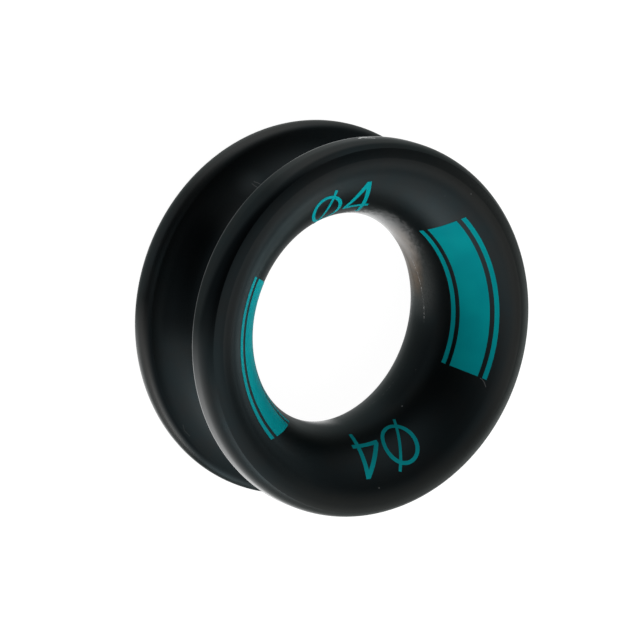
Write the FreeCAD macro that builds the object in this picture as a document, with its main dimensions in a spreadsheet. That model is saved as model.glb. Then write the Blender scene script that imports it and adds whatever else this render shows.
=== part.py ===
import FreeCAD, Part
import math
import os

import Sketcher

# Low friction ring for a 4 mm rope: one piece, turned from aluminium bar, lying on its end.
# The origin is the ring's centre, +Z runs along its axis, and all sizes are in millimetres.

drivingSizes = {
    "throatDiameter": 9.0,   # narrowest place of the hole, at half width
    "throatWall": 1.5,       # metal between the throat and the bottom of the rope groove
    "grooveDepth": 2.0,      # rope groove, from the rim to its bottom
    "grooveOpening": 4.0,    # rope groove, across its mouth at the rim
    "edgeBreak": 0.05,       # 45-degree break on the two edges of the groove's mouth
    "rimWidth": 0.4,         # straight part of each flange's rim
    "cornerRadius": 1.2,     # round from the rim to the crease on each face
    "lipRadius": 1.5,        # round from the crease over the crown and into the hole
    "crownInset": 0.85,      # from the rim in to the crown, the circle that the ring lies on
    "crownRise": 0.9,        # from the end of the straight rim up to the crown
}

# Sizes that follow from the driving ones, as the sheet's own formulas
followingSizes = {
    "rimRadius": "throatDiameter / 2 + throatWall + grooveDepth",
    "outsideDiameter": "2 * rimRadius",
    "crownRadius": "rimRadius - crownInset",
    "cornerHeight": "grooveOpening / 2 + rimWidth",    # of the corners' centres above the middle plane
    "crownHeight": "cornerHeight + crownRise",
    "lipHeight": "crownHeight - lipRadius",            # of the lips' centres above the middle plane
    "ringWidth": "2 * crownHeight",                    # from crown to crown, along the axis
}

# How far the finished ring may be from its outside sizes
sizeTolerance = 0.001

# Where the arcs of the fresh sketch end, in degrees, before its constraints pull them into place
cornerEnd = 42    # corner, at the crease
lipStart = 69     # lip, at the crease
lipEnd = 115      # lip, where it runs into the hole

# Which point of a sketch element a constraint holds
startPoint, endPoint, centrePoint = range(1, 4)

# The sketch's own horizontal axis, whose start point is the sketch's origin
horizontalAxis = -1
origin = (horizontalAxis, startPoint)


def makeSheet(doc):
    """Spreadsheet with one size in each row: its name, and its value under an alias of that name."""
    sheet = doc.addObject("Spreadsheet::Sheet", "Sizes")
    cells = {name: str(value) for name, value in drivingSizes.items()}
    cells.update({name: f"={formula}" for name, formula in followingSizes.items()})
    for row, (name, content) in enumerate(cells.items(), start=1):
        sheet.set(f"A{row}", name)
        sheet.set(f"B{row}", content)
        sheet.setAlias(f"B{row}", name)
    doc.recompute()
    return sheet


def addArc(sketch, centre, radius, firstAngle, lastAngle):
    circle = Part.Circle(FreeCAD.Vector(*centre, 0), FreeCAD.Vector(0, 0, 1), radius)
    arc = Part.ArcOfCircle(circle, math.radians(firstAngle), math.radians(lastAngle))
    return sketch.addGeometry(arc, False)


def addLine(sketch, start, end):
    line = Part.LineSegment(FreeCAD.Vector(*start, 0), FreeCAD.Vector(*end, 0))
    return sketch.addGeometry(line, False)


def addMark(sketch, place):
    return sketch.addGeometry(Part.Point(FreeCAD.Vector(*place, 0)), True)


def bindSize(sketch, name, formula, kind, *elements):
    """Adds a size to the sketch at its value, and ties it to the sheet."""
    value = float(sketch.evalExpression(formula))
    index = sketch.addConstraint(Sketcher.Constraint(kind, *elements, value))
    sketch.renameConstraint(index, name)
    sketch.setExpression(f"Constraints.{name}", formula)


def drawSection(body, sheet):
    """Section of the ring on the body's XZ plane, one closed line of arcs, straight rims and edge breaks.

    The hole's curve is one arc that touches the throat and runs smoothly into both lips. Each lip passes its
    crown and meets the corner of its rim at a crease. The groove's seat is one arc through its bottom and both
    edge breaks. The radius of the hole's curve and of the seat follows from the sizes round them.
    """
    sketch = body.newObject("Sketcher::SketchObject", "RingSection")
    plane = next(f for f in body.Origin.OriginFeatures if f.Role == "XZ_Plane")
    sketch.AttachmentSupport = [(plane, "")]
    sketch.MapMode = "FlatFace"

    rim = sheet.rimRadius
    throat = sheet.throatDiameter / 2
    bottom = rim - sheet.grooveDepth
    crown = sheet.crownRadius
    lip = sheet.lipRadius
    lipHeight = sheet.lipHeight
    corner = sheet.cornerRadius
    cornerHeight = sheet.cornerHeight
    mouth = sheet.grooveOpening / 2
    edge = sheet.edgeBreak

    # Anticlockwise round the metal, from the hole's curve by the lower flange to the upper one
    bore = addArc(sketch, (rim, 0), rim - throat, lipEnd, 360 - lipEnd)
    lowerLip = addArc(sketch, (crown, -lipHeight), lip, -lipEnd, -lipStart)
    lowerCorner = addArc(sketch, (rim - corner, -cornerHeight), corner, -cornerEnd, 0)
    lowerRim = addLine(sketch, (rim, -cornerHeight), (rim, -mouth))
    lowerBreak = addLine(sketch, (rim, -mouth), (rim - edge, edge - mouth))
    seat = addArc(sketch, (rim, 0), sheet.grooveDepth, 90, 270)
    upperBreak = addLine(sketch, (rim - edge, mouth - edge), (rim, mouth))
    upperRim = addLine(sketch, (rim, mouth), (rim, cornerHeight))
    upperCorner = addArc(sketch, (rim - corner, cornerHeight), corner, 0, cornerEnd)
    upperLip = addArc(sketch, (crown, lipHeight), lip, lipStart, lipEnd)
    throatMark = addMark(sketch, (throat, 0))
    bottomMark = addMark(sketch, (bottom, 0))
    crownMark = addMark(sketch, (crown, sheet.crownHeight))

    for joint, first, firstEnd, second, secondEnd in (
        ("Tangent", bore, endPoint, lowerLip, startPoint),
        ("Coincident", lowerLip, endPoint, lowerCorner, startPoint),
        ("Tangent", lowerCorner, endPoint, lowerRim, startPoint),
        ("Coincident", lowerRim, endPoint, lowerBreak, startPoint),
        ("Coincident", lowerBreak, endPoint, seat, endPoint),
        ("Coincident", seat, startPoint, upperBreak, startPoint),
        ("Coincident", upperBreak, endPoint, upperRim, startPoint),
        ("Tangent", upperRim, endPoint, upperCorner, startPoint),
        ("Coincident", upperCorner, endPoint, upperLip, startPoint),
        ("Tangent", upperLip, endPoint, bore, startPoint),
    ):
        sketch.addConstraint(Sketcher.Constraint(joint, first, firstEnd, second, secondEnd))
    for lower, lowerPoint, upper, upperPoint in (
        (lowerLip, centrePoint, upperLip, centrePoint),
        (lowerCorner, centrePoint, upperCorner, centrePoint),
        (lowerBreak, startPoint, upperBreak, endPoint),
        (lowerBreak, endPoint, upperBreak, startPoint),
    ):
        sketch.addConstraint(
            Sketcher.Constraint("Symmetric", lower, lowerPoint, upper, upperPoint, horizontalAxis))
    for mark, curve in ((throatMark, bore), (bottomMark, seat)):
        sketch.addConstraint(Sketcher.Constraint("PointOnObject", mark, startPoint, horizontalAxis))
        sketch.addConstraint(Sketcher.Constraint("PointOnObject", mark, startPoint, curve))
    sketch.addConstraint(Sketcher.Constraint("PointOnObject", crownMark, startPoint, upperLip))
    sketch.addConstraint(Sketcher.Constraint("Vertical", crownMark, startPoint, upperLip, centrePoint))
    sketch.addConstraint(Sketcher.Constraint("Equal", lowerLip, upperLip))
    sketch.addConstraint(Sketcher.Constraint("Equal", lowerCorner, upperCorner))
    sketch.addConstraint(Sketcher.Constraint("Vertical", lowerRim))

    bindSize(sketch, "throatRadius", "Sizes.throatDiameter / 2", "DistanceX", *origin, throatMark, startPoint)
    bindSize(sketch, "throatWall", "Sizes.throatWall",
             "DistanceX", throatMark, startPoint, bottomMark, startPoint)
    bindSize(sketch, "grooveDepth", "Sizes.grooveDepth",
             "DistanceX", bottomMark, startPoint, upperRim, startPoint)
    bindSize(sketch, "grooveOpening", "Sizes.grooveOpening",
             "DistanceY", lowerRim, endPoint, upperRim, startPoint)
    bindSize(sketch, "breakDepth", "Sizes.edgeBreak",
             "DistanceX", upperBreak, startPoint, upperBreak, endPoint)
    bindSize(sketch, "breakWidth", "Sizes.edgeBreak",
             "DistanceY", upperBreak, startPoint, upperBreak, endPoint)
    bindSize(sketch, "rimWidth", "Sizes.rimWidth",
             "DistanceY", upperRim, startPoint, upperRim, endPoint)
    bindSize(sketch, "cornerRadius", "Sizes.cornerRadius", "Radius", upperCorner)
    bindSize(sketch, "lipRadius", "Sizes.lipRadius", "Radius", upperLip)
    bindSize(sketch, "crownInset", "Sizes.crownInset",
             "DistanceX", crownMark, startPoint, upperRim, startPoint)
    bindSize(sketch, "crownRise", "Sizes.crownRise",
             "DistanceY", upperRim, endPoint, crownMark, startPoint)
    return sketch


def makeRing(doc, sheet):
    ring = doc.addObject("PartDesign::Body", "Ring")
    ring.Label = "ring"
    ring.Placement = FreeCAD.Placement()

    section = drawSection(ring, sheet)
    turned = ring.newObject("PartDesign::Revolution", "TurnedRing")
    turned.Profile = section
    turned.ReferenceAxis = (section, ["V_Axis"])
    turned.Angle = 360
    section.Visibility = False
    ring.Tip = turned
    doc.recompute()
    return ring


def checkDocument(doc):
    for item in doc.Objects:
        if "Invalid" in item.State or "Error" in item.State:
            raise RuntimeError(f"{item.Name} failed: {item.State}")
        if item.isDerivedFrom("Sketcher::SketchObject") and not item.FullyConstrained:
            raise RuntimeError(f"{item.Name} isn't fully constrained")


def checkRing(ring, sheet):
    shape = ring.Shape
    if shape.isNull() or not shape.isValid():
        raise RuntimeError(f"{ring.Label} has no valid shape")
    if len(shape.Solids) != 1:
        raise RuntimeError(f"{ring.Label} has {len(shape.Solids)} solids, not 1")
    box = shape.optimalBoundingBox(False, False)
    for found, wanted in ((box.XLength, sheet.outsideDiameter),
                          (box.YLength, sheet.outsideDiameter),
                          (box.ZLength, sheet.ringWidth)):
        if abs(found - wanted) > sizeTolerance:
            raise RuntimeError(f"{ring.Label} measures {found:.4f} mm where it should be {wanted:.4f} mm")
    print(f"{ring.Label}: {box.XLength:.2f} x {box.YLength:.2f} x {box.ZLength:.2f} mm,"
          f" volume {shape.Volume:.1f} mm3, {len(shape.Faces)} faces")


os.makedirs("parts", exist_ok=True)
document = FreeCAD.newDocument("LowFrictionRing")
sizes = makeSheet(document)
ring = makeRing(document, sizes)
document.recompute()
checkDocument(document)
checkRing(ring, sizes)
ring.Shape.exportStep(f"parts/{ring.Label}.step")
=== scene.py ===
import math

import bmesh
import bpy
from mathutils import Matrix, Vector
from mathutils.geometry import intersect_sphere_sphere_2d


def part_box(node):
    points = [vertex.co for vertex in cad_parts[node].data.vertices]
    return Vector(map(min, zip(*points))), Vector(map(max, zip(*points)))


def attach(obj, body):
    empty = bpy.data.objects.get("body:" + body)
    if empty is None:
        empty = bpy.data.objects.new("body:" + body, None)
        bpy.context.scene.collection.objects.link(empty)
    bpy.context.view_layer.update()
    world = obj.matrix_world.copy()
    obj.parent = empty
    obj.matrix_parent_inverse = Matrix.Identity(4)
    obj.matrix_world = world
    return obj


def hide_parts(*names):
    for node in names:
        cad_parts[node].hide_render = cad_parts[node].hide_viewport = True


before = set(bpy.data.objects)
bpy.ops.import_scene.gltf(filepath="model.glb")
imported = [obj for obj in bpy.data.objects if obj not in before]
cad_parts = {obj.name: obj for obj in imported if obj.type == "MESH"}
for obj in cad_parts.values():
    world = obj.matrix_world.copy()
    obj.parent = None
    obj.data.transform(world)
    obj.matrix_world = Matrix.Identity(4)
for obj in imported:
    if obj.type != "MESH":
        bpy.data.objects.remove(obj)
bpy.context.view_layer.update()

mm = 0.001
scene = bpy.context.scene
xAxis, yAxis, zAxis = Vector((1, 0, 0)), Vector((0, 1, 0)), Vector((0, 0, 1))
origin = Vector((0, 0, 0))


# The camera stands over the ring's -Y side and is rolled until the ring lies as in the photograph
cameraSizes = {
    "distance": 256.0,          # mm
    "lens": 343.58,             # mm, on a sensor this wide
    "sensor": 36,
    "height": 56.44,            # degrees above the floor
    "roll": 108.91,             # degrees round its own line of sight
    "slide": (-0.5369, -0.1023),    # mm to its right and up
    "clip": (10, 10000),        # mm, nearest and farthest that it sees
}


def makeCamera():
    size = cameraSizes
    data = bpy.data.cameras.new("camera")
    data.sensor_width = size["sensor"]
    data.lens = size["lens"]
    data.clip_start, data.clip_end = (reach * mm for reach in size["clip"])
    camera = bpy.data.objects.new("camera", data)
    scene.collection.objects.link(camera)
    lean = Matrix.Rotation(math.radians(90 - size["height"]), 4, "X")
    roll = Matrix.Rotation(math.radians(size["roll"]), 4, "Z")
    camera.matrix_world = lean @ roll @ Matrix.Translation(Vector((*size["slide"], size["distance"])) * mm)
    scene.camera = camera


def makeObject(name, bm, material):
    mesh = bpy.data.meshes.new(name)
    bm.to_mesh(mesh)
    bm.free()
    mesh.materials.append(material)
    made = bpy.data.objects.new(name, mesh)
    scene.collection.objects.link(made)
    return made


def makePiece(name, bm, material):
    bmesh.ops.recalc_face_normals(bm, faces=bm.faces)
    piece = makeObject(name, bm, material)
    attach(piece, "root")
    return piece


# The ring's section in mm, with the sizes that the CAD has. Heights are above its middle plane.
ringSizes = {
    "throatRadius": 4.5,        # narrowest place of the hole
    "rimRadius": 8.0,
    "crownHeight": 3.3,
    "crownInset": 0.85,         # from the rim in to the crown
    "lipRadius": 1.5,           # round over the crown and into the hole
    "cornerRadius": 1.2,        # round from the rim to the crease in the lip
    "cornerHeight": 2.4,        # of the corner's centre
    "grooveDepth": 2.0,
    "edgeBreak": 0.05,          # what the CAD takes off the groove's edges
    "edgeRound": 0.05,          # on the groove's upper edge, as crisp as the CAD's break
    "edgeRoundLow": 0.45,       # on its lower edge, which looks rounder in the photo
    "arcStep": 2.0,             # degrees between the points of an arc
    "edgeStep": 0.75,           # degrees between the points of an edge's round, for 1 mm of radius
    "stepsRound": 240,
    "weld": 0.0005,             # points that are nearer than this become one
    "smoothBelow": 18,          # degrees between two faces, up to which their edge is shaded smooth
}


def workOutArcs():
    # centres as (radius, height), and tilts in degrees from the ring's axis
    size = ringSizes
    lip = (size["rimRadius"] - size["crownInset"], size["crownHeight"] - size["lipRadius"])
    corner = (size["rimRadius"] - size["cornerRadius"], size["cornerHeight"])
    # the hole's curve touches the throat and runs smoothly into the lip
    reach = lip[0] - size["throatRadius"]
    holeRadius = (reach ** 2 + lip[1] ** 2 - size["lipRadius"] ** 2) / (2 * (reach - size["lipRadius"]))
    hole = (size["throatRadius"] + holeRadius, 0)
    # the lip and the corner meet in a crease, the outer one of the places where their circles cross
    crossings = intersect_sphere_sphere_2d(lip, size["lipRadius"], corner, size["cornerRadius"])
    crease = max(crossings, key=lambda point: point.x)

    def tilt(centre, point):
        return math.degrees(math.atan2(point[0] - centre[0], point[1] - centre[1]))

    return {
        "hole": hole,
        "holeRadius": holeRadius,
        "holeEnd": tilt(hole, lip),
        "lip": lip,
        "lipCrease": tilt(lip, crease),
        "corner": corner,
        "cornerCrease": tilt(corner, crease),
        # the groove is twice as wide as deep, so its seat is half a circle
        "seat": (size["rimRadius"] - size["edgeBreak"], 0),
        "seatRadius": size["grooveDepth"] - size["edgeBreak"],
    }


arcs = workOutArcs()


def makeHalfSection(bm, edge):
    # from the throat over the flange to the bottom of the groove
    size = ringSizes

    def swing(point, centre, degrees, step=size["arcStep"]):
        made = bmesh.ops.spin(
            bm, geom=[point], cent=Vector((centre[0], 0, centre[1])), axis=yAxis,
            angle=math.radians(degrees), steps=max(2, round(abs(degrees) / step)), use_duplicate=False)
        return next(item for item in made["geom_last"] if isinstance(item, bmesh.types.BMVert))

    def run(point, move):
        made = bmesh.ops.extrude_vert_indiv(bm, verts=[point])
        bmesh.ops.translate(bm, verts=made["verts"], vec=Vector((move[0], 0, move[1])))
        return made["verts"][0]

    rim = size["rimRadius"]
    point = bm.verts.new((size["throatRadius"], 0, 0))
    point = swing(point, arcs["hole"], 90 + arcs["holeEnd"])
    point = swing(point, arcs["lip"], arcs["lipCrease"] - arcs["holeEnd"])
    point = swing(point, arcs["corner"], 90 - arcs["cornerCrease"])
    # the edge's round touches both the rim and the groove's seat
    reach = arcs["seatRadius"] + edge
    lean = math.asin((arcs["seat"][0] - rim + edge) / reach)
    height = reach * math.cos(lean)
    point = run(point, (0, height - size["cornerHeight"]))
    point = swing(point, (rim - edge, height), 90 - math.degrees(lean), size["edgeStep"] / edge)
    swing(point, arcs["seat"], math.degrees(lean) - 90)


def makeRing(material):
    size = ringSizes
    bm = bmesh.new()
    makeHalfSection(bm, size["edgeRoundLow"])
    bmesh.ops.scale(bm, vec=(1, 1, -1), verts=bm.verts)
    makeHalfSection(bm, size["edgeRound"])
    bmesh.ops.remove_doubles(bm, verts=bm.verts, dist=size["weld"])
    bmesh.ops.spin(
        bm, geom=bm.verts[:] + bm.edges[:], cent=origin, axis=zAxis, angle=2 * math.pi,
        steps=size["stepsRound"], use_merge=True, use_duplicate=False)
    bmesh.ops.remove_doubles(bm, verts=bm.verts, dist=size["weld"])
    bmesh.ops.scale(bm, vec=(mm, mm, mm), verts=bm.verts)
    bmesh.ops.recalc_face_normals(bm, faces=bm.faces)
    for face in bm.faces:
        face.smooth = True
    for edge in bm.edges:
        edge.smooth = edge.calc_face_angle() < math.radians(size["smoothBelow"])
    ring = makePiece("turned_ring", bm, material)
    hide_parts("ring")
    return ring


# The prints lie on the hole's curve. Their top and underside are in mm off the metal.
inkSizes = {
    "top": 0.010,
    "underside": -0.004,
}


def thicken(bm):
    made = bmesh.ops.extrude_face_region(bm, geom=bm.faces[:], use_keep_orig=True)
    top = [item for item in made["geom"] if isinstance(item, bmesh.types.BMVert)]
    bottom = [vert for vert in bm.verts if vert not in set(top)]
    bmesh.ops.translate(bm, verts=top, vec=(0, 0, inkSizes["top"]))
    bmesh.ops.translate(bm, verts=bottom, vec=(0, 0, inkSizes["underside"]))


def wrap(bm, start, degreesPerUnit=1):
    # x runs clockwise round the ring from start, y from the throat out along the section, z off the metal
    for vert in bm.verts:
        turn = math.radians(start - vert.co.x * degreesPerUnit)
        tilt = math.pi - vert.co.y / arcs["holeRadius"]
        reach = arcs["holeRadius"] + vert.co.z
        out = arcs["hole"][0] + reach * math.cos(tilt)
        vert.co = Vector((out * math.cos(turn), out * math.sin(turn), reach * math.sin(tilt))) * mm


# Each print of bars is a wide bar between two lines, in mm from the throat out along the section
barSizes = {
    "inner": 1.65,
    "outer": 3.75,
    "line": 0.2,
    "gap": 0.2,
    "stepsRound": 96,
    "step": 0.13,               # longest side of a face along the section
    # start and end in degrees from +X, and how much later a print starts at its outer edge
    "right": (160.5, 86.5, 5.0),
    "left": (343.0, 265.0, 11.0),
}


def makeBars(name, start, end, slant, ink):
    size = barSizes
    span = start - end
    inner, outer = size["inner"], size["outer"]
    innerLine, outerLine = inner + size["line"], outer - size["line"]
    bm = bmesh.new()
    strips = (
        (inner, innerLine),
        (innerLine + size["gap"], outerLine - size["gap"]),
        (outerLine, outer),
    )
    for bottom, top in strips:
        # a square of 1 by 1 beside the origin, stretched to the strip
        steps = max(2, round((top - bottom) / size["step"]))
        made = bmesh.ops.create_grid(bm, x_segments=size["stepsRound"], y_segments=steps, size=0.5)
        bmesh.ops.translate(bm, verts=made["verts"], vec=(0.5, 0.5, 0))
        bmesh.ops.scale(bm, verts=made["verts"], vec=(span, top - bottom, 1))
        bmesh.ops.translate(bm, verts=made["verts"], vec=(0, bottom, 0))
    for vert in bm.verts:
        vert.co.x += slant * (1 - vert.co.x / span) * (vert.co.y - inner) / (outer - inner)
    thicken(bm)
    wrap(bm, start)
    return makePiece(name, bm, ink)


# The size marks, a diameter sign and a 4: upright on a flat sheet in mm, with the throat at 0
markSizes = {
    "degreesPerMm": 10.49,      # where the marks lie on the hole's curve
    "middle": 2.65,             # of the sign, where a slant leaves both marks in place
    "signWidth": 1.54,
    "signHeight": 2.02,
    "signLine": 0.17,
    "signSteps": 72,
    "slashLine": 0.125,
    "slashLean": 26.6,          # degrees
    "slashTail": 0.3,           # what stands out of the sign at each end
    "slashRoot": 0.93,          # share of the sign's half height, outside which the tails start
    "slashNear": 1e-4,          # edges this near the slash belong to it
    "fourWidth": 1.32,
    "fourHeight": 2.36,
    "fourLine": 0.19,
    "fourBar": 0.68,            # height of the bar's underside over the foot
    "fourStem": 1.03,           # middle of the stem from the bar's left end
    "fourFoot": 1.37,
    "fourSlope": (1.25, 2.0, 0.1),      # reach of the slope's foot, its head and its tip, for 1 mm of line
    "strip": 0.12,              # width of the strips that bend round the hole's curve
    "weld": 1e-5,
    # where the sign and the 4 start, in degrees from +X, and how far they slant, in mm for 1 mm of height
    "front": {"sign": 49.8, "four": 32.7, "slant": -0.06},
    "back": {"sign": 229.5, "four": 211.9, "slant": 0.2},
}


def cut(bm, place, normal):
    bmesh.ops.bisect_plane(
        bm, geom=bm.verts[:] + bm.edges[:] + bm.faces[:], dist=markSizes["weld"],
        plane_co=place, plane_no=normal)


def cutStrips(bm):
    step = markSizes["strip"]
    xs = [vert.co.x for vert in bm.verts]
    ys = [vert.co.y for vert in bm.verts]
    for low, high, normal in ((min(xs), max(xs), xAxis), (min(ys), max(ys), yAxis)):
        for count in range(1, int((high - low) / step) + 1):
            cut(bm, normal * (low + count * step), normal)


def drawDiameterSign(bm):
    size = markSizes
    width, height, line = size["signWidth"], size["signHeight"], size["signLine"]
    for smaller in (0, 2 * line):
        made = bmesh.ops.create_circle(bm, segments=size["signSteps"], radius=1)
        bmesh.ops.scale(bm, verts=made["verts"], vec=((width - smaller) / 2, (height - smaller) / 2, 1))
    bmesh.ops.bridge_loops(bm, edges=bm.edges[:])

    # the slash crosses the sign inside, and its tails stand out of it above and below
    lean, half = math.radians(size["slashLean"]), size["slashLine"] / 2
    along = Vector((math.sin(lean), math.cos(lean), 0))
    across = Vector((math.cos(lean), -math.sin(lean), 0))
    for side in (-half, half):
        cut(bm, across * side, across)
    inner, outer = [], {-1: [], 1: []}
    for edge in bm.edges:
        off = max(abs(vert.co.dot(across)) for vert in edge.verts)
        if edge.is_boundary and off < half + size["slashNear"]:
            middle = (edge.verts[0].co + edge.verts[1].co) / 2
            if middle.length > (height - line) / 2 * size["slashRoot"]:
                outer[1 if middle.dot(along) > 0 else -1].append(edge)
            else:
                inner.append(edge)
    bmesh.ops.bridge_loops(bm, edges=inner)
    for side, edges in outer.items():
        made = bmesh.ops.extrude_edge_only(bm, edges=edges)
        tips = [item for item in made["geom"] if isinstance(item, bmesh.types.BMVert)]
        bmesh.ops.translate(bm, verts=tips, vec=along * side * size["slashTail"])
    bmesh.ops.translate(bm, verts=bm.verts, vec=(width / 2, size["middle"], 0))


def drawFour(bm):
    size = markSizes
    line, width, height = size["fourLine"], size["fourWidth"], size["fourHeight"]
    bar, stem = size["fourBar"], size["fourStem"]
    left, right, barTop = stem - line / 2, stem + line / 2, bar + line
    slopeFoot, slopeHead, tip = (line * share for share in size["fourSlope"])
    points = {
        "tailLeft": (left, 0),
        "tailRight": (right, 0),
        "barLeft": (0, bar),
        "stemLeft": (left, bar),
        "stemRight": (right, bar),
        "barRight": (width, bar),
        "barLeftTop": (0, barTop),
        "slopeFoot": (slopeFoot, barTop),
        "stemLeftTop": (left, barTop),
        "stemRightTop": (right, barTop),
        "barRightTop": (width, barTop),
        "slopeHead": (left, height - slopeHead),
        "tipLeft": (left + tip, height),
        "tipRight": (right, height),
    }
    verts = {name: bm.verts.new((*place, 0)) for name, place in points.items()}
    for corners in (
        ("tailLeft", "tailRight", "stemRight", "stemLeft"),
        ("barLeft", "stemLeft", "stemLeftTop", "slopeFoot", "barLeftTop"),
        ("stemLeft", "stemRight", "stemRightTop", "stemLeftTop"),
        ("stemRight", "barRight", "barRightTop", "stemRightTop"),
        ("stemLeftTop", "stemRightTop", "tipRight", "tipLeft", "slopeHead"),
        ("barLeftTop", "slopeFoot", "slopeHead", "tipLeft"),
    ):
        bm.faces.new([verts[name] for name in corners])
    bmesh.ops.translate(bm, verts=bm.verts, vec=(0, size["fourFoot"], 0))


def makeMark(name, draw, start, slant, ink):
    bm = bmesh.new()
    draw(bm)
    for vert in bm.verts:
        vert.co.x -= slant * (vert.co.y - markSizes["middle"])
    bmesh.ops.recalc_face_normals(bm, faces=bm.faces)
    cutStrips(bm)
    bmesh.ops.triangulate(bm, faces=bm.faces)
    thicken(bm)
    wrap(bm, start, markSizes["degreesPerMm"])
    return makePiece(name, bm, ink)


def addNode(tree, kind, inputs=(), **settings):
    node = tree.nodes.new(kind)
    for name, value in settings.items():
        setattr(node, name, value)
    for name, value in dict(inputs).items():
        if isinstance(value, bpy.types.NodeSocket):
            tree.links.new(value, node.inputs[name])
        else:
            node.inputs[name].default_value = value
    return node


def addMath(tree, operation, *values, clamp=False):
    # more than two values are taken in turn
    while len(values) > 2:
        values = (addMath(tree, operation, *values[:2]), *values[2:])
    node = addNode(tree, "ShaderNodeMath", enumerate(values), operation=operation, use_clamp=clamp)
    return node.outputs[0]


def addVectorMath(tree, operation, inputs, output="Vector"):
    return addNode(tree, "ShaderNodeVectorMath", inputs, operation=operation).outputs[output]


def addRange(tree, value, fromLow, fromHigh, toLow=0.0, toHigh=1.0, kind="SMOOTHSTEP"):
    node = addNode(tree, "ShaderNodeMapRange", {
        "Value": value, "From Min": fromLow, "From Max": fromHigh, "To Min": toLow, "To Max": toHigh},
        interpolation_type=kind)
    return node.outputs["Result"]


def addPlace(tree):
    return addNode(tree, "ShaderNodeTexCoord").outputs["Object"]


def addPlaceInMm(tree):
    return addVectorMath(tree, "SCALE", {0: addPlace(tree), "Scale": 1 / mm})


def addNoise(tree, place, scale, detail, roughness=0.5):
    node = addNode(tree, "ShaderNodeTexNoise", {
        "Vector": place, "Scale": scale, "Detail": detail, "Roughness": roughness})
    return node.outputs["Fac"]


def addRagged(tree, value, noise, share):
    # moves a value to and fro with a noise, whose middle is 0.5
    off = addMath(tree, "SUBTRACT", noise, 0.5)
    return addMath(tree, "ADD", value, addMath(tree, "MULTIPLY", off, share))


def addMix(tree, share, first, second):
    return addNode(tree, "ShaderNodeMixRGB", {0: share, 1: first, 2: second}).outputs[0]


def addSlope(tree, start, x, rise):
    return addMath(tree, "ADD", start, addMath(tree, "MULTIPLY", x, rise))


def newGroup(name, inputs, outputs):
    tree = bpy.data.node_groups.new(name, "ShaderNodeTree")
    for label, value in inputs.items():
        socket = tree.interface.new_socket(label, in_out="INPUT", socket_type="NodeSocketFloat")
        socket.default_value = value
    for label in outputs:
        tree.interface.new_socket(label, in_out="OUTPUT", socket_type="NodeSocketFloat")
    return tree, tree.nodes.new("NodeGroupInput").outputs, tree.nodes.new("NodeGroupOutput").inputs


def useGroup(tree, group, values=()):
    node = tree.nodes.new("ShaderNodeGroup")
    node.node_tree = group
    for name, value in dict(values).items():
        node.inputs[name].default_value = value
    return node.outputs


# Where a point of the ring is, in mm: across, along and up, and how far from the axis
def makeRingPlace():
    tree, _, made = newGroup("ring_place", {}, ["X", "Y", "Z", "Radius"])
    x, y, z = addNode(tree, "ShaderNodeSeparateXYZ", {0: addPlaceInMm(tree)}).outputs
    squares = [addMath(tree, "MULTIPLY", value, value) for value in (x, y)]
    radius = addMath(tree, "SQRT", addMath(tree, "ADD", *squares))
    for name, value in (("X", x), ("Y", y), ("Z", z), ("Radius", radius)):
        tree.links.new(value, made[name])
    return tree


# Tool marks of the lathe: rings round the axis, one to a pitch in mm, that drift slowly with the turn
def makeTurningLines(ringPlace):
    tree, given, made = newGroup("turning_lines", {"Pitch": 0.06, "Drift": 0.2}, ["Lines"])
    place = useGroup(tree, ringPlace)
    turnX, turnY = (
        addMath(tree, "MULTIPLY", addMath(tree, "DIVIDE", place[name], place["Radius"]), given["Drift"])
        for name in "XY")
    lathe = addNode(tree, "ShaderNodeCombineXYZ", {0: place["Radius"], 1: place["Z"], 2: turnX}).outputs[0]
    scale = addMath(tree, "DIVIDE", 1.0, given["Pitch"])
    noise = addNode(tree, "ShaderNodeTexNoise", {
        "Vector": lathe, "W": turnY, "Scale": scale, "Detail": 3.0, "Roughness": 0.55}, noise_dimensions="4D")
    tree.links.new(noise.outputs["Fac"], made["Lines"])
    return tree


# Sparse dust: dots of uneven size, in mm
def makeDust():
    tree, given, made = newGroup("dust", {"Spacing": 0.5, "Share": 0.2, "Size": 0.03}, ["Dust"])
    scale = addMath(tree, "DIVIDE", 1 / mm, given["Spacing"])
    cells = addNode(tree, "ShaderNodeTexVoronoi", {
        "Vector": addPlace(tree), "Scale": scale, "Randomness": 1.0})
    pick = addNode(tree, "ShaderNodeSeparateColor", {0: cells.outputs["Color"]}).outputs
    chosen = addMath(tree, "LESS_THAN", pick[0], given["Share"])
    uneven = addMath(tree, "ADD", pick[1], 0.3)     # dots are 0.3 to 1.3 of the size
    reach = addMath(tree, "DIVIDE", addMath(tree, "MULTIPLY", given["Size"], uneven), given["Spacing"])
    away = addMath(tree, "DIVIDE", cells.outputs["Distance"], reach)
    near = addMath(tree, "SUBTRACT", 1.0, away, clamp=True)
    tree.links.new(addMath(tree, "MULTIPLY", near, chosen), made["Dust"])
    return tree


# Marks of handling, and painted light and shade, lie in patches. A patch has
#   side: its middle in degrees anticlockwise from +X, how far it reaches, and how far it has full strength
#   radius, height: pairs in mm, each fading in from its first number to its second
#   away: the same for the height without its sign, so on both flanges alike
#   rise: how much its heights move with x
#   strength: 1 where none is given
holeWall = (5.4, 5.1)       # the radius pair of a patch on the hole's wall
flange = (7.45, 7.75)       # and on the outside of a flange


def addWindow(tree, place, middle, reach, full):
    # 1 within full degrees of a side of the ring, fading to 0 at reach
    side = math.radians(middle)
    along = addMath(tree, "ADD", addMath(tree, "MULTIPLY", place["X"], math.cos(side)),
                    addMath(tree, "MULTIPLY", place["Y"], math.sin(side)))
    facing = addMath(tree, "DIVIDE", along, place["Radius"])
    return addRange(tree, facing, math.cos(math.radians(reach)), math.cos(math.radians(full)))


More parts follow.
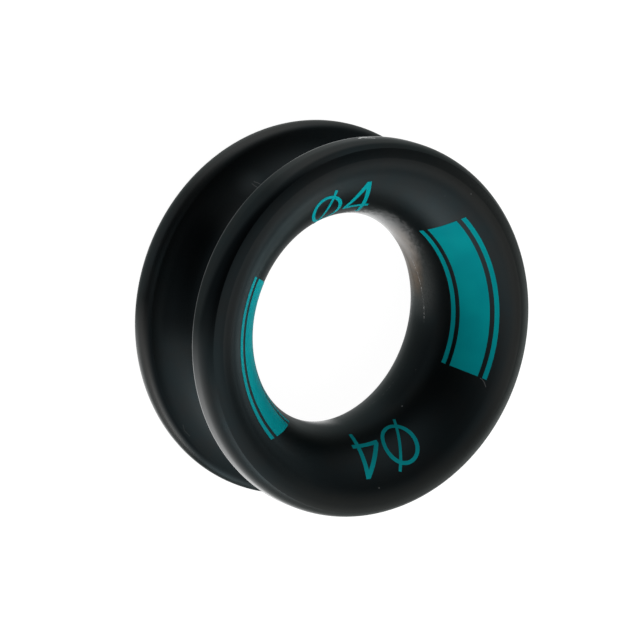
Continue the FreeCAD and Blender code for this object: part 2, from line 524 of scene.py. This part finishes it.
def addPatch(tree, place, patch, *masks):
    height = place["Z"]
    if "rise" in patch:
        height = addSlope(tree, height, place["X"], patch["rise"])
    parts = [addWindow(tree, place, *patch["side"])]
    for name, value in (("radius", place["Radius"]), ("height", height), ("away", place["Away"])):
        parts += [addRange(tree, value, *pair) for pair in patch.get(name, ())]
    return addMath(tree, "MULTIPLY", *parts, *masks, patch.get("strength", 1.0))


def addPatches(tree, place, patches, *masks):
    return addMath(tree, "MAXIMUM", *(addPatch(tree, place, patch, *masks) for patch in patches), 0.0)


# The hole's wall is polished up to a ragged end that runs round it on the slant
polishSizes = {
    "end": -2.40,               # height of that end at the axis
    "endRise": -0.82,
    "endFade": (-0.16, 0.42),   # fades in over this distance below the end
    "ragged": (1.2, 0.45),      # how far the fine and the coarse noise move the end
    "x": (-2.6, -4.0),          # gets stronger from the first to the second
    "least": 0.2,               # share of it that is left before the first
    "dull": {"side": (131, 30, 12), "height": ((0.0, -0.7),), "strength": 0.55},
    # a smaller polished place on the wall near +X
    "smallX": (3.95, 4.35),
    "smallHeight": (0.6, -0.5),
    "smallRagged": 0.8,
    "smallStrength": 0.7,
    # and the polish on the upper rim and under the lower one
    "rims": (
        {"side": (333, 50, 19), "radius": (flange,), "height": ((3.12, 2.30), (0.0, 1.0))},
        {"side": (325, 40, 15), "radius": (flange,), "height": ((-2.3, -2.6),), "strength": 0.6},
    ),
}


def addPolish(tree, place, fine, coarse):
    size = polishSizes
    x, z = place["X"], place["Z"]
    inHole = addRange(tree, place["Radius"], *holeWall)

    end = addSlope(tree, size["end"], x, size["endRise"])
    under = addMath(tree, "DIVIDE", addMath(tree, "SUBTRACT", end, z), math.hypot(1, size["endRise"]))
    for noise, share in zip((fine, coarse), size["ragged"]):
        under = addRagged(tree, under, noise, share)
    dull = addPatch(tree, place, size["dull"])
    wall = addMath(tree, "MULTIPLY", addRange(tree, under, *size["endFade"]),
                   addRange(tree, x, *size["x"], size["least"], 1.0), inHole,
                   addMath(tree, "SUBTRACT", 1.0, dull))

    level = addRagged(tree, z, fine, size["smallRagged"])
    small = addMath(tree, "MULTIPLY", addRange(tree, x, *size["smallX"], 0.0, size["smallStrength"]),
                    addRange(tree, level, *size["smallHeight"]), inHole)
    return addMath(tree, "MAXIMUM", wall, small, addPatches(tree, place, size["rims"]))


def addFromCircle(tree, place, radius, height):
    # distance from a circle round the ring's axis
    squares = [addMath(tree, "POWER", addMath(tree, "SUBTRACT", value, middle), 2.0)
               for value, middle in ((place["Radius"], radius), (place["Z"], height))]
    return addMath(tree, "SQRT", addMath(tree, "ADD", *squares))


# The groove's upper edge is worn to bare metal in a hair line, and a painted highlight runs along that line,
# strongest on two sides
wornEdgeHighlightSizes = {
    "line": (7.985, 1.985),     # its radius and height
    "fade": (0.07, 0.028),      # fades in over this distance from the line
    "least": 0.12,              # share of the line that is there all round
    "sides": (
        {"side": (188, 45, 12), "strength": 0.6},
        {"side": (330, 50, 24), "strength": 0.5},
    ),
    "rippleScale": 900.0,
    "ripple": (0.3, 0.6, 0.6, 1.0),     # of the noise, and what it leaves of the line
}


def addWornEdgeHighlight(tree, place):
    size = wornEdgeHighlightSizes
    line = addRange(tree, addFromCircle(tree, place, *size["line"]), *size["fade"])
    sides = (addPatch(tree, place, patch) for patch in size["sides"])
    lineStrength = addMath(tree, "ADD", size["least"], *sides)
    ripple = addNoise(tree, addPlace(tree), size["rippleScale"], detail=2.0)
    return addMath(tree, "MULTIPLY", line, lineStrength, addRange(tree, ripple, *size["ripple"]))


# Painted sheen, paler than the black
paintedSheenSizes = {
    # on the lower rim it fades in over this distance from a line round it, of this radius and height
    "line": (8.0, -2.32),
    "fade": (0.50, 0.08),
    "lowerRim": (
        {"side": (205, 48, 15), "radius": ((7.5, 7.95),), "strength": 0.20},
        {"side": (312, 32, 12), "radius": ((7.5, 7.95),), "strength": 0.22},
        {"side": (255, 120, 90), "radius": ((7.5, 7.95),), "strength": 0.02},
    ),
    # painted as well on the upper rim, on both corners, and along both crowns
    "elsewhere": (
        {"side": (209, 32, 12), "radius": (flange,), "height": ((3.02, 2.85), (1.6, 2.0)), "strength": 0.11},
        {"side": (35, 68, 40), "radius": ((7.35, 7.75),), "away": ((2.4, 2.6),), "strength": 0.036},
        {"side": (190, 125, 95), "radius": ((6.7, 7.1), (7.315, 7.265)), "away": ((2.4, 2.6),),
         "strength": 0.045},
    ),
}


def addPaintedSheen(tree, place):
    size = paintedSheenSizes
    near = addRange(tree, addFromCircle(tree, place, *size["line"]), *size["fade"])
    return addMath(tree, "MAXIMUM", addPatches(tree, place, size["lowerRim"], near),
                   addPatches(tree, place, size["elsewhere"]))


# Painted light and shade on the black: painted shade where it is darker, and a painted tint and painted sheen
# where it has another tone
shadeSizes = {
    "paintedShade": (
        # painted shade on the upper corner, the upper lip, and a streak along that lip
        {"side": (252, 42, 20), "radius": ((7.68, 7.70),), "height": ((2.52, 2.80),), "rise": 0.088},
        {"side": (300, 55, 25), "radius": ((7.3, 7.0),), "height": ((2.0, 2.9),), "strength": 0.45},
        {"side": (290, 68, 36), "radius": ((6.05, 6.35), (6.95, 6.70)), "height": ((1.0, 1.5),),
         "strength": 0.88},
        # painted shade in the groove, on its lower edge, and on the hole's wall
        {"side": (273, 27, 14), "radius": ((7.45, 7.05), (5.5, 5.6)), "away": ((2.2, 1.9),),
         "strength": 0.72},
        {"side": (312, 42, 18), "radius": ((7.60, 7.72),), "height": ((-1.5, -1.9), (-2.36, -2.14)),
         "strength": 0.9},
        {"side": (77, 32, 10), "radius": (holeWall,), "height": ((1.2, 0.6), (-1.2, -0.6)), "strength": 0.72},
    ),
    # a painted tint of the reflected light: less blue on the upper lip and corner
    "plain": {"side": (85, 118, 75), "radius": ((6.6, 7.2),), "height": ((0.0, 2.0),)},
    # a paler and a warmer painted sheen on the hole's wall, where it reflects the light, and how the noise
    # thins them out
    "holeSheen": {"side": (137, 36, 10), "radius": (holeWall,), "height": ((0.82, -0.68),), "rise": 0.2},
    "holeSheenNoise": (0.3, 0.6, 0.55, 1.0),
    "warmSheen": {"side": (143, 30, 14), "radius": (holeWall,), "height": ((-0.86, -1.56),), "rise": 0.45,
             "strength": 0.75},
    "warmSheenNoise": (0.3, 0.6, 0.7, 1.0),
}


# Dotted scratches run round the throat: height at the axis, rise with x, side as in a patch, and strength
scratchSizes = {
    "fade": (0.035, 0.010),     # fades in over this distance from the scratch
    "pale": (
        (0.256, 0.132, (123, 20, 15), 0.6),
        (-0.95, 0.0, (122, 9, 6), 0.5),
        (-1.3, 0.0, (112, 14, 8), 0.35),
        (-0.35, 0.05, (60, 22, 12), 0.09),
    ),
    "paleDots": (0.5, 0.64),    # of the noise that breaks a scratch up
    "dark": (
        (-0.92, 0.0, (145, 9, 6), 0.9),
        (-0.62, 0.02, (133, 14, 9), 0.6),
        (-0.5, -0.15, (22, 16, 10), 0.8),
    ),
    "darkDots": (0.4, 0.5),
}


def addScratches(tree, place, kind, noise):
    size = scratchSizes
    lines = []
    for height, rise, side, strength in size[kind]:
        level = addSlope(tree, height, place["X"], rise)
        off = addMath(tree, "ABSOLUTE", addMath(tree, "SUBTRACT", place["Z"], level))
        patch = {"side": side, "strength": strength}
        lines.append(addPatch(tree, place, patch, addRange(tree, off, *size["fade"])))
    return addMath(tree, "MULTIPLY", addMath(tree, "MAXIMUM", *lines, 0.0),
                   addRange(tree, place["Radius"], *holeWall), addRange(tree, noise, *size[kind + "Dots"]))


patchNoise = {"fine": 0.07, "coarse": 0.28}      # mm


def makeWearAndPaintedLight(ringPlace):
    # marks of wear and dirt, with painted light and shade: Deep is painted shade, the sheens and the tint are
    # painted light
    tree, _, made = newGroup("wear_and_painted_light", {}, [
        "Polish", "WornEdgeHighlight", "Deep", "HoleSheen", "WarmSheen", "PaintedSheen", "ReflectionTint", "Scratches", "Nicks"])
    outputs = useGroup(tree, ringPlace)
    place = {name: outputs[name] for name in ("X", "Y", "Z", "Radius")}
    place["Away"] = addMath(tree, "ABSOLUTE", place["Z"])
    fine = addNoise(tree, addPlace(tree), 1 / (patchNoise["fine"] * mm), detail=3.0, roughness=0.7)
    coarse = addNoise(tree, addPlace(tree), 1 / (patchNoise["coarse"] * mm), detail=2.0, roughness=0.6)
    shades = shadeSizes
    masks = {
        "Polish": addPolish(tree, place, fine, coarse),
        # worn edge with a painted highlight
        "WornEdgeHighlight": addWornEdgeHighlight(tree, place),
        # painted shade
        "Deep": addPatches(tree, place, shades["paintedShade"]),
        # paler and warmer painted sheen on the hole's wall
        "HoleSheen": addPatch(tree, place, shades["holeSheen"], addRange(tree, fine, *shades["holeSheenNoise"])),
        "WarmSheen": addPatch(tree, place, shades["warmSheen"], addRange(tree, coarse, *shades["warmSheenNoise"])),
        # painted sheen
        "PaintedSheen": addPaintedSheen(tree, place),
        # painted tint of the reflected light
        "ReflectionTint": addPatch(tree, place, shades["plain"]),
        "Scratches": addScratches(tree, place, "pale", fine),
        "Nicks": addScratches(tree, place, "dark", fine),
    }
    for name, mask in masks.items():
        tree.links.new(mask, made[name])
    return tree


# Single marks. A place is its side in degrees anticlockwise from +X, its radius and its height in mm.
singleMarks = {
    # place, size and strength
    "spots": (
        ((160.8, 7.135, 3.3), 0.03, 0.12),
        ((56.9, 4.721, 1.22), 0.035, 0.35),
        ((24.7, 6.715, 3.236), 0.035, 0.2),
    ),
    "smudge": ((230.8, 6.645, -1.45), 0.85, 0.05),
    # the places that a line runs through, half its width, and its strength
    "lines": (
        # a nick in the upper rim, and the bare edge beside it
        (((203.0, 8.0, 2.24), (201.8, 8.0, 2.15), (200.3, 8.0, 2.18)), 0.055, 0.95),
        (((201.3, 8.0, 2.3), (199.7, 8.0, 2.36), (198.8, 8.0, 2.46)), 0.045, 0.8),
        (((199.0, 8.0, 2.055), (195.2, 8.0, 2.055), (192.0, 8.0, 2.055), (186.0, 8.0, 2.055)),
         0.03, 0.62),
        # fibres on the upper lip and in the groove
        (((86.3, 6.092, 2.93), (85.9, 6.216, 3.0), (85.3, 6.292, 3.05), (84.0, 6.415, 3.11)), 0.011, 0.16),
        (((229.4, 6.596, -1.403), (228.6, 6.486, -1.287), (228.2, 6.388, -1.19)), 0.012, 0.09),
        (((230.5, 6.577, -1.385), (230.3, 6.461, -1.259), (230.0, 6.395, -1.18)), 0.012, 0.07),
        # bright dashes at the throat
        (((126.3, 4.5, -0.09), (128.0, 4.5, -0.1)), 0.013, 0.30),
        (((129.6, 4.5, -0.11), (131.2, 4.5, -0.1)), 0.015, 0.34),
        (((135.5, 4.5, -0.14), (138.5, 4.5, -0.17)), 0.012, 0.24),
        (((116.2, 4.629, -0.93), (118.0, 4.629, -0.97)), 0.012, 0.12),
        # a faint scratch beside the groove's lower edge
        (((326.8, 7.5, -1.897), (328.7, 7.584, -1.915), (331.5, 7.547, -1.908)), 0.016, 0.02),
    ),
    # shares of a spot's size, of the smudge's and of a line's half width, between which they fade out
    "spotFade": (0.5, 1.0),
    "smudgeFade": (0.1, 1.0),
    "lineFade": (0.5, 1.5),
    "raggedScale": 16.0,
    "ragged": 0.16,             # how far the noise moves the sides of a line
    "raggedOver": 0.03,         # half width over which a line's sides are ragged
}


def onRing(side, radius, height):
    turn = math.radians(side)
    return Vector((radius * math.cos(turn), radius * math.sin(turn), height))


def addFromStretch(tree, place, start, end):
    # distance from the straight stretch between two points
    run = end - start
    away = addVectorMath(tree, "SUBTRACT", {0: place, 1: start})
    if run.length:
        share = addVectorMath(tree, "DOT_PRODUCT", {0: away, 1: run / run.length_squared}, "Value")
        share = addMath(tree, "ADD", share, 0.0, clamp=True)
        along = addVectorMath(tree, "SCALE", {0: run, "Scale": share})
        away = addVectorMath(tree, "SUBTRACT", {0: away, 1: along})
    return addVectorMath(tree, "LENGTH", {0: away}, "Value")


def makeMarks():
    tree, _, made = newGroup("single_marks", {}, ["Marks", "Smudge"])
    place = addPlaceInMm(tree)
    noise = addNoise(tree, place, singleMarks["raggedScale"], detail=3.0)

    def fadeOut(distance, size, fade, strength):
        full, nothing = (size * share for share in singleMarks[fade])
        return addRange(tree, distance, full, nothing, strength, 0.0)

    def addSpot(centre, size, strength, fade):
        spot = onRing(*centre)
        return fadeOut(addFromStretch(tree, place, spot, spot), size, fade, strength)

    marks = [addSpot(*spot, "spotFade") for spot in singleMarks["spots"]]
    for places, width, strength in singleMarks["lines"]:
        points = [onRing(*point) for point in places]
        for start, end in zip(points, points[1:]):
            distance = addFromStretch(tree, place, start, end)
            if width > singleMarks["raggedOver"]:
                distance = addRagged(tree, distance, noise, singleMarks["ragged"])
            marks.append(fadeOut(distance, width, "lineFade", strength))
    tree.links.new(addMath(tree, "MAXIMUM", *marks, 0.0), made["Marks"])
    tree.links.new(addSpot(*singleMarks["smudge"], "smudgeFade"), made["Smudge"])
    return tree


def newMaterial(name):
    material = bpy.data.materials.new(name)
    material.use_nodes = True
    tree = material.node_tree
    return material, tree, tree.nodes["Principled BSDF"]


# Lathe lines at two pitches, in mm, and how high both stand
fineLines = {"Pitch": 0.06, "Drift": 0.25}
coarseLines = {"Pitch": 0.3, "Drift": 0.12}
lineHeight = 0.0008


def addBump(tree, height):
    node = addNode(tree, "ShaderNodeBump", {"Height": height, "Strength": 1.0, "Distance": lineHeight * mm})
    return node.outputs["Normal"]


metalFinish = {
    "black": (0.0095, 0.0131, 0.0143, 1),       # what the anodised metal reflects head-on
    "blackWarm": (0.0110, 0.0129, 0.0134, 1),   # in cloudy patches
    "blackReflectionTint": (0.0119, 0.0130, 0.0127, 1),  # a painted tint of the reflected light; this and the other colours lie where the wear and the painted light and shade put them
    # painted shade, which the dark nicks share
    "blackShadeAndNicks": (0.0032, 0.0044, 0.0050, 1),
    "edgeTint": (0.575, 0.596, 0.592, 1),       # share of its gloss that stays at a low angle
    # painted sheen on the hole's wall, pale and warm
    "holeSheen": (0.062, 0.064, 0.062, 1),
    "warmSheen": (0.136, 0.094, 0.063, 1),
    # painted sheen
    "paintedSheen": (0.172, 0.168, 0.162, 1),
    "dust": (0.16, 0.17, 0.17, 1),
    # bare metal, brightened to a painted highlight along the groove's edge
    "bareAndHighlight": (0.62, 0.63, 0.63, 1),
    "mark": (0.55, 0.56, 0.56, 1),
    "cloudScale": 420.0,
    "cloud": (0.35, 0.65),                      # of the noise, over which the patches fade in
    "roughNoise": (0.3, 0.7),
    "rough": (0.36, 0.45),
    "polishRough": 0.16,
    "polishIor": 1.5,
    "fineShare": 0.4,                           # of the fine lathe lines in the bump
    "specks": {"Spacing": 0.9, "Share": 0.12, "Size": 0.035},
    "specksStrength": 0.5,
}


def makeAnodised(turning, dust, wearAndPaintedLight, marks):
    finish = metalFinish
    material, tree, shader = newMaterial("black_anodised")
    shader.inputs["Specular Tint"].default_value = finish["edgeTint"]
    shader.inputs["Coat Roughness"].default_value = finish["polishRough"]
    shader.inputs["Coat IOR"].default_value = finish["polishIor"]
    fine = useGroup(tree, turning, fineLines)["Lines"]
    coarse = useGroup(tree, turning, coarseLines)["Lines"]
    wearAndPainted = useGroup(tree, wearAndPaintedLight)
    single = useGroup(tree, marks)
    cloud = addNoise(tree, addPlace(tree), finish["cloudScale"], detail=4.0, roughness=0.6)
    specks = useGroup(tree, dust, finish["specks"])["Dust"]
    specks = addMath(tree, "MULTIPLY", specks, finish["specksStrength"])

    colour = finish["black"]
    for share, name in (
        (addRange(tree, cloud, *finish["cloud"]), "blackWarm"),
        # painted tint of the reflected light
        (wearAndPainted["ReflectionTint"], "blackReflectionTint"),
        # painted sheen on the hole's wall, pale and warm
        (wearAndPainted["HoleSheen"], "holeSheen"),
        (wearAndPainted["WarmSheen"], "warmSheen"),
        (single["Smudge"], "dust"),
        # painted shade, and the dark nicks
        (addMath(tree, "MAXIMUM", wearAndPainted["Deep"], wearAndPainted["Nicks"]), "blackShadeAndNicks"),
        # painted sheen
        (wearAndPainted["PaintedSheen"], "paintedSheen"),
        (specks, "dust"),
        # worn edge with a painted highlight
        (wearAndPainted["WornEdgeHighlight"], "bareAndHighlight"),
        (addMath(tree, "MAXIMUM", wearAndPainted["Scratches"], single["Marks"]), "mark"),
    ):
        colour = addMix(tree, share, colour, finish[name])
    tree.links.new(colour, shader.inputs["Base Color"])

    loose = addMath(tree, "MAXIMUM", specks, single["Marks"])
    tree.links.new(addMath(tree, "SUBTRACT", 1.0, loose, clamp=True), shader.inputs["Metallic"])
    polish = addMath(tree, "SUBTRACT", wearAndPainted["Polish"], wearAndPainted["Nicks"], clamp=True)
    tree.links.new(polish, shader.inputs["Coat Weight"])
    mean = addMath(tree, "DIVIDE", addMath(tree, "ADD", cloud, coarse), 2.0)
    rough = addRange(tree, mean, *finish["roughNoise"], *finish["rough"], "LINEAR")
    tree.links.new(rough, shader.inputs["Roughness"])
    height = addMath(tree, "ADD", addMath(tree, "MULTIPLY", fine, finish["fineShare"]), coarse)
    tree.links.new(addBump(tree, height), shader.inputs["Normal"])
    return material


# The front size marks have an ink of their own, a little paler: a painted lit copy of the ink, standing in
# for the light on them
inkFinish = {
    "ink": (0.0008, 0.172, 0.186, 1),
    "inkDeep": (0.0006, 0.150, 0.168, 1),       # in cloudy patches
    # painted lit copy of the ink
    "inkLit": (0.003, 0.205, 0.222, 1),
    "inkLitDeep": (0.0025, 0.180, 0.200, 1),
    "gloss": 0.006,
    "cloudScale": 500.0,
    "cloud": (0.35, 0.65),
    "grainScale": 2600.0,
    "grainShare": 0.6,                          # of the grain in the bump
    "roughNoise": (0.3, 0.7),
    "rough": (0.38, 0.5),
    "pinholes": {"Spacing": 0.6, "Share": 0.1, "Size": 0.04},
}


def makeInk(name, colourName, turning, dust):
    finish = inkFinish
    material, tree, shader = newMaterial(name)
    shader.inputs["Specular IOR Level"].default_value = finish["gloss"]
    grain = addNoise(tree, addPlace(tree), finish["grainScale"], detail=3.0, roughness=0.6)
    cloud = addNoise(tree, addPlace(tree), finish["cloudScale"], detail=2.0)
    cloud = addRange(tree, cloud, *finish["cloud"])
    colour = addMix(tree, cloud, finish[colourName], finish[colourName + "Deep"])
    pinholes = useGroup(tree, dust, finish["pinholes"])["Dust"]
    tree.links.new(addMix(tree, pinholes, colour, metalFinish["black"]), shader.inputs["Base Color"])
    rough = addRange(tree, grain, *finish["roughNoise"], *finish["rough"], "LINEAR")
    tree.links.new(rough, shader.inputs["Roughness"])
    height = addMath(tree, "ADD", addMath(tree, "MULTIPLY", grain, finish["grainShare"]),
                     useGroup(tree, turning, coarseLines)["Lines"])
    tree.links.new(addBump(tree, height), shader.inputs["Normal"])
    return material


# The floor is white to the camera and in reflections, apart from the ring's shadow, and else pale grey
floorSizes = {
    "radius": 1200,             # mm
    "steps": 96,
    "glow": 0.98,
    "shadow": (0.1, 0.1, 0.1, 1),       # what the light adds to the glow, outside the shadow
    "grey": (0.85, 0.85, 0.85, 1),
}


def makeFloor():
    size = floorSizes
    material, tree, _ = newMaterial("pale_floor")
    tree.nodes.clear()
    path = addNode(tree, "ShaderNodeLightPath").outputs
    seen = addMath(tree, "MAXIMUM", path["Is Camera Ray"], path["Is Glossy Ray"], path["Is Transmission Ray"])
    glow = addNode(tree, "ShaderNodeEmission", {"Color": (1, 1, 1, 1), "Strength": size["glow"]}).outputs[0]
    shadow = addNode(tree, "ShaderNodeBsdfDiffuse", {"Color": size["shadow"]}).outputs[0]
    grey = addNode(tree, "ShaderNodeBsdfDiffuse", {"Color": size["grey"]}).outputs[0]
    white = addNode(tree, "ShaderNodeAddShader", {0: glow, 1: shadow}).outputs[0]
    surface = addNode(tree, "ShaderNodeMixShader", {0: seen, 1: grey, 2: white}).outputs["Shader"]
    addNode(tree, "ShaderNodeOutputMaterial", {"Surface": surface})

    bm = bmesh.new()
    bmesh.ops.create_circle(bm, cap_ends=True, segments=size["steps"], radius=size["radius"] * mm)
    bmesh.ops.translate(bm, verts=bm.verts, vec=(0, 0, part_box("ring")[0].z))
    floor = makeObject("floor", bm, material)


# Soft light from all round: a plain sky, a pale horizon and a few wide soft boxes
lightSizes = {
    "sky": 0.01,
    "horizon": 1.0,
    "horizonEdge": (0.07, 0.11),    # sine of the height where the horizon's light starts and ends to fade
    # the side and the height that a box shines from in degrees, its strength, and how narrow it is
    "boxes": (
        (93, -4, 20.0, 13.0),
        (8, -10, 10.2, 4.7),
        (185, 13, 2.0, 8.2),
        (32, 72, 2.4, 13.5),
        (325, 48, 1.2, 12.0),
    ),
}


def makeWorld():
    world = bpy.data.worlds.new("studio")
    scene.world = world
    world.use_nodes = True
    tree = world.node_tree
    direction = addNode(tree, "ShaderNodeTexCoord").outputs["Generated"]
    light = lightSizes["sky"]
    for side, height, strength, narrow in lightSizes["boxes"]:
        side, height = math.radians(side), math.radians(height)
        towards = (math.cos(side) * math.cos(height), math.sin(side) * math.cos(height), math.sin(height))
        facing = addVectorMath(tree, "DOT_PRODUCT", {0: direction, 1: towards}, "Value")
        fall = addMath(tree, "MULTIPLY", addMath(tree, "SUBTRACT", facing, 1.0), narrow)
        box = addMath(tree, "MULTIPLY", addMath(tree, "EXPONENT", fall), strength)
        light = addMath(tree, "ADD", box, light)
    up = addMath(tree, "ABSOLUTE", addNode(tree, "ShaderNodeSeparateXYZ", {0: direction}).outputs["Z"])
    band = addRange(tree, up, *lightSizes["horizonEdge"], lightSizes["horizon"], 0.0)
    background = tree.nodes["Background"]
    background.inputs["Color"].default_value = (1, 1, 1, 1)
    tree.links.new(addMath(tree, "MAXIMUM", light, band), background.inputs["Strength"])


makeCamera()
print("camera placed")

ringPlace = makeRingPlace()
turningLines = makeTurningLines(ringPlace)
dustDots = makeDust()
anodised = makeAnodised(turningLines, dustDots, makeWearAndPaintedLight(ringPlace), makeMarks())
ink = makeInk("teal_ink", "ink", turningLines, dustDots)
litInk = makeInk("teal_ink_lit", "inkLit", turningLines, dustDots)
print("anodised metal and inks mixed")

turnedRing = makeRing(anodised)
print(f"ring turned: {len(turnedRing.data.polygons)} faces")

for side in ("right", "left"):
    makeBars(f"print_bars_{side}", *barSizes[side], ink)
# the front marks take the painted lit copy of the ink
for side, sideInk in (("front", litInk), ("back", ink)):
    mark = markSizes[side]
    makeMark(f"print_sign_{side}", drawDiameterSign, mark["sign"], mark["slant"], sideInk)
    makeMark(f"print_four_{side}", drawFour, mark["four"], mark["slant"], sideInk)
print("bars and size marks printed")

makeFloor()
makeWorld()
scene.view_settings.view_transform = "Standard"
print("floor and light set")
